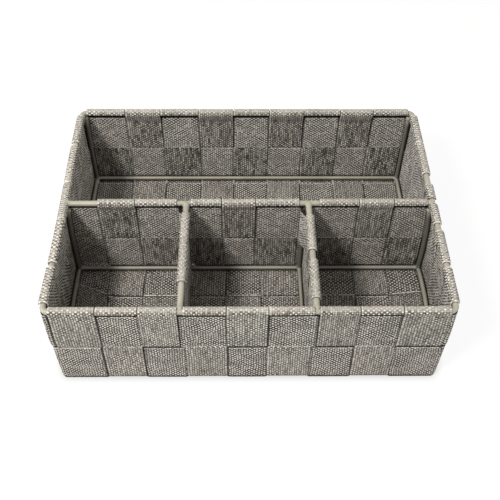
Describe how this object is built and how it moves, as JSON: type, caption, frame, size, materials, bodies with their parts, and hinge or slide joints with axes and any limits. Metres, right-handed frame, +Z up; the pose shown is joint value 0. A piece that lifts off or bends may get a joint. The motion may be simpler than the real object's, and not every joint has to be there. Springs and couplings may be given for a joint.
{
  "type": "divided basket",
  "caption": "Low rectangular woven strap basket on a wire frame, with one long compartment behind a row of smaller ones.",
  "frame": {"origin": "middle of the base, on the surface that the basket stands on", "axes": "+X along the long side to the right, +Y from the small compartments to the long one, +Z up"},
  "size_m": [0.32, 0.24, 0.0909],
  "materials": {
    "woven_strap": "matte",
    "coated_wire": "satin"
  },
  "bodies": {
    "root": {"front_to_back_strap_1": "woven_strap", "front_to_back_strap_2": "woven_strap", "front_to_back_strap_3": "woven_strap", "front_to_back_strap_4": "woven_strap", "front_to_back_strap_5": "woven_strap", "front_to_back_strap_6": "woven_strap", "front_to_back_strap_7": "woven_strap", "front_to_back_strap_8": "woven_strap", "front_to_back_strap_9": "woven_strap", "side_to_side_strap_1": "woven_strap", "side_to_side_strap_2": "woven_strap", "side_to_side_strap_3": "woven_strap", "side_to_side_strap_4": "woven_strap", "side_to_side_strap_5": "woven_strap", "girth_strap_upper": "woven_strap", "girth_strap_lower": "woven_strap", "divider_upright_strap_2": "woven_strap", "divider_upright_strap_3": "woven_strap", "divider_upright_strap_4": "woven_strap", "divider_upright_strap_5": "woven_strap", "divider_upright_strap_6": "woven_strap", "divider_upright_strap_7": "woven_strap", "divider_upright_strap_8": "woven_strap", "divider_upright_strap_9": "woven_strap", "divider_band_upper": "woven_strap", "divider_band_lower": "woven_strap", "left_partition_upright_strap_1": "woven_strap", "left_partition_upright_strap_2": "woven_strap", "left_partition_band_upper": "woven_strap", "left_partition_band_lower": "woven_strap", "right_partition_upright_strap_1": "woven_strap", "right_partition_upright_strap_2": "woven_strap", "right_partition_band_upper": "woven_strap", "right_partition_band_lower": "woven_strap", "rim_wire": "coated_wire", "base_wire": "coated_wire", "corner_post_front_left": "coated_wire", "corner_post_front_right": "coated_wire", "corner_post_back_left": "coated_wire", "corner_post_back_right": "coated_wire", "divider_top_wire": "coated_wire", "divider_base_wire": "coated_wire", "divider_post_left": "coated_wire", "divider_post_right": "coated_wire", "left_partition_top_wire": "coated_wire", "left_partition_base_wire": "coated_wire", "left_partition_post_front": "coated_wire", "left_partition_post_back": "coated_wire", "right_partition_top_wire": "coated_wire", "right_partition_base_wire": "coated_wire", "right_partition_post_front": "coated_wire", "right_partition_post_back": "coated_wire"}
  },
  "joints": []
}
